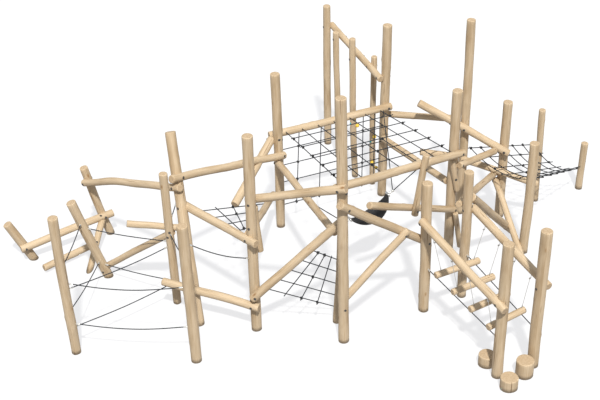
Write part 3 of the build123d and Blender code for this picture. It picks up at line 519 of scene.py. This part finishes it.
def turned_profile(place, out, profile, sides=20):
    """A round piece with its axis along a direction, from pairs of radius and height."""
    first, second = side_vectors(np.array(out))
    verts = []
    for radius, height in profile:
        for side in range(sides):
            angle = 2 * math.pi * side / sides
            verts.append(np.array(place) + np.array(out) * height
                         + (first * math.cos(angle) + second * math.sin(angle)) * radius)
    faces = ring_faces(len(profile), sides)
    verts.append(np.array(place) + np.array(out) * profile[-1][1])
    top = (len(profile) - 1) * sides
    faces.extend((top + side, top + (side + 1) % sides, len(verts) - 1) for side in range(sides))
    return verts, faces


HEAD = [(0.0215, -0.004), (0.0215, 0.0012), (0.0190, 0.0016), (0.0165, -0.0008), (0.0160, 0.003),
        (0.0130, 0.0052), (0.0080, 0.0066)]
# A shorter solid is a nut. A head sits where a ray, sent inwards from past the bolt's end, meets the wood.
SHORTEST_BOLT = 0.06
RAY_START = 0.08
RAY_LENGTH = 0.14
heads = []
for keys, triangles in separate_solids("bolts"):
    used = keys[np.unique(triangles)]
    middle = used.mean(0)
    spread = used - middle
    axis = np.linalg.eigh(spread.T @ spread)[1][:, 2]
    reach = spread @ axis
    if reach.max() - reach.min() < SHORTEST_BOLT:
        continue
    middle = middle + axis * (reach.max() + reach.min()) / 2
    half = (reach.max() - reach.min()) / 2
    for sign in (-1, 1):
        out = axis * sign
        origin = middle + out * (half + RAY_START)
        hit, _, _, _ = log_tree.ray_cast(Vector(origin), Vector(-out), RAY_LENGTH)
        if hit is not None:
            heads.append(turned_profile(hit, out, HEAD))
head_mesh = mesh_from("bolt_heads", heads, smooth=False)
make_piece("bolt_heads", "frame", head_mesh, [DARK_STEEL], ["bolts"])

# ---------------------------------------------------------------- nets and hanging ropes

NET_STEP = 0.011
NET_SIDES = 12
# How far a straight rope runs on into the log at each end.
RUN_IN = 0.012
# A bent rope's solid fits no straight bar of its own size, so it comes out thicker than this.
STRAIGHT_RADIUS = 0.012

# The hammock net: its corners and sag in metres, and where its ropes lie and cross, as shares of its sides.
SAG_CORNERS = ((2.1600, 3.3800, 1.3000), (3.5137, 3.5880, 1.2200),
               (4.3769, 4.0500, 0.4300), (3.0883, 2.1800, 1.4000))
SAG_SHARES = (0.09, 0.22, 0.378, 0.5, 0.63, 0.765, 0.9)
SAG_CROSSINGS = (0, 0.163, 0.39, 0.6, 0.8, 1)
SAG = 0.2
SAG_OVERRUN = 0.015


def net_piece(name, ropes=()):
    """Every straight rope of a net as a twisted rope, run a little into the logs, beside any given ones."""
    ropes = list(ropes)
    for keys, triangles in separate_solids(name):
        low, high, radius = fit_bar(keys, triangles)
        if radius > STRAIGHT_RADIUS:
            continue
        out = (high - low) / np.linalg.norm(high - low)
        low, high = low - out * RUN_IN, high + out * RUN_IN
        line, _ = evenly([low, high], NET_STEP)
        ropes.append(strand_tube(line, NET_SIDES))
    make_piece(name + "_ropes", "frame", mesh_from(name, ropes), [ROPE], [name])


def sagging_ropes():
    """The long ropes of the hammock net, each bent halfway between its crossings."""
    a, b, c, d = (Vector(corner) for corner in SAG_CORNERS)
    middles = [(first + second) / 2 for first, second in zip(SAG_CROSSINGS, SAG_CROSSINGS[1:])]
    bends = [0, *middles, 1]
    depths = [4 * SAG * share * (1 - share) for share in bends]
    for share in SAG_SHARES:
        points = []
        for place in (-SAG_OVERRUN, *middles, 1 + SAG_OVERRUN):
            run = min(max(sum(bend < place for bend in bends) - 1, 0), len(bends) - 2)
            part = (place - bends[run]) / (bends[run + 1] - bends[run])
            hang = depths[run] + (depths[run + 1] - depths[run]) * part
            points.append(a.lerp(b, share).lerp(d.lerp(c, share), place) - Vector((0, 0, hang)))
        line, _ = evenly(smooth_line(points), NET_STEP)
        yield strand_tube(line, NET_SIDES)


for name in ("deck_net", "back_net", "side_net", "low_net", "hammock_ropes"):
    net_piece(name)
net_piece("hammock_net", sagging_ropes())

# ---------------------------------------------------------------- clamps, fittings and hangers


def finished_copy(name, piece_name, material):
    """A CAD node's mesh with its own finish."""
    mesh = nodes[name].data.copy()
    mesh.materials.clear()
    return make_piece(piece_name, BODY_OF[name], mesh, [material], [name])


def rounded_copy(name, piece_name, material, bevel):
    """A CAD node's mesh with its edges rounded and its own finish."""
    piece = finished_copy(name, piece_name, material)
    weld = piece.modifiers.new("weld", "WELD")
    weld.merge_threshold = 0.00001
    rounded = piece.modifiers.new("bevel", "BEVEL")
    rounded.width = bevel
    rounded.segments = 2
    rounded.limit_method = "ANGLE"
    rounded.angle_limit = math.radians(40)


rounded_copy("net_connectors", "net_clamps", CLAMP, 0.002)
rounded_copy("rope_fittings", "ferrules_and_pins", FERRULE, 0.0015)
rounded_copy("hammock_studs", "hammock_clamps", STEEL, 0.003)
for number in range(1, 5):
    rounded_copy(f"step_hangers_{number}", f"hanger_cables_{number}", STEEL, 0.001)

# ---------------------------------------------------------------- hammock

sling = finished_copy("hammock", "rubber_sling", RUBBER)
remesh = sling.modifiers.new("remesh", "REMESH")
remesh.mode = "VOXEL"
remesh.voxel_size = 0.004
remesh.use_smooth_shade = True
smoothing = sling.modifiers.new("smooth", "CORRECTIVE_SMOOTH")
smoothing.iterations = 6
smoothing.use_only_smooth = True

# ---------------------------------------------------------------- climbing holds

SMALL_HOLD = 0.06
HOLD_SHARE = 0.97


def hold_mesh(name, centre, radius, chance):
    """A rounded, knobbly grip."""
    profile = [(0.001, -1.0)] + [(math.cos(a), math.sin(a)) for a in np.linspace(-1.35, 1.35, 13)]
    verts, faces = turned_profile((0, 0, 0), (0, 0, 1), profile, 24)
    dents = [(Vector((chance.gauss(0, 1), chance.gauss(0, 1), chance.gauss(0, 1))).normalized(),
              chance.uniform(-0.16, 0.10)) for _ in range(7)]
    shaped = []
    for vert in verts:
        out = Vector(vert).normalized()
        size = 1 + sum(depth * max(0.0, out.dot(dent)) ** 6 for dent, depth in dents)
        shaped.append(Vector(centre) + out * radius * size * HOLD_SHARE)
    return mesh_from(name, [(shaped, faces)])


for index, (keys, triangles) in enumerate(separate_solids("climbing_holds")):
    used = keys[np.unique(triangles)]
    height = used.max(0)[2] - used.min(0)[2]
    centre = (used.max(0) + used.min(0)) / 2
    finish = TEAL if height < SMALL_HOLD else YELLOW
    label = f"hold_{index + 1}"
    mesh = hold_mesh(label, centre, height / 2, random.Random(index))
    make_piece(label, "frame", mesh, [finish], ["climbing_holds"])

# ---------------------------------------------------------------- ground and light

# The ground glows, so that it looks pale and its shadows stay faint. It sends no light to the wood.
ground_material, ground_shader, _, _ = tree("ground", (0.2, 0.2, 0.2), 0.95)
ground_shader.inputs["Emission Color"].default_value = (0.985, 0.985, 1.0, 1)
ground_shader.inputs["Emission Strength"].default_value = 0.72
bpy.ops.mesh.primitive_plane_add(size=160, location=(0, 0, 0))
ground = bpy.context.object
ground.name = "ground"
ground.data.materials.append(ground_material)
ground.visible_diffuse = False

world = bpy.data.worlds.new("sky")
scene.world = world
world.use_nodes = True
sky_nodes, sky_links = world.node_tree.nodes, world.node_tree.links
place = sky_nodes.new("ShaderNodeTexCoord")
height = sky_nodes.new("ShaderNodeSeparateXYZ")
shades = sky_nodes.new("ShaderNodeValToRGB")
shades.color_ramp.elements[0].position = 0.0
shades.color_ramp.elements[0].color = (0.36, 0.34, 0.32, 1)
shades.color_ramp.elements[1].position = 0.12
shades.color_ramp.elements[1].color = (0.58, 0.60, 0.63, 1)
sky_links.new(place.outputs["Generated"], height.inputs["Vector"])
sky_links.new(height.outputs["Z"], shades.inputs["Fac"])
sky_links.new(shades.outputs["Color"], sky_nodes["Background"].inputs["Color"])

sun_data = bpy.data.lights.new("sun", "SUN")
sun_data.energy = 4.1
sun_data.angle = math.radians(3)
sun_data.color = (1.0, 0.98, 0.945)
sun = bpy.data.objects.new("sun", sun_data)
scene.collection.objects.link(sun)
sun.rotation_euler = (math.radians(33), 0, math.radians(5))
scene.view_settings.view_transform = "Standard"
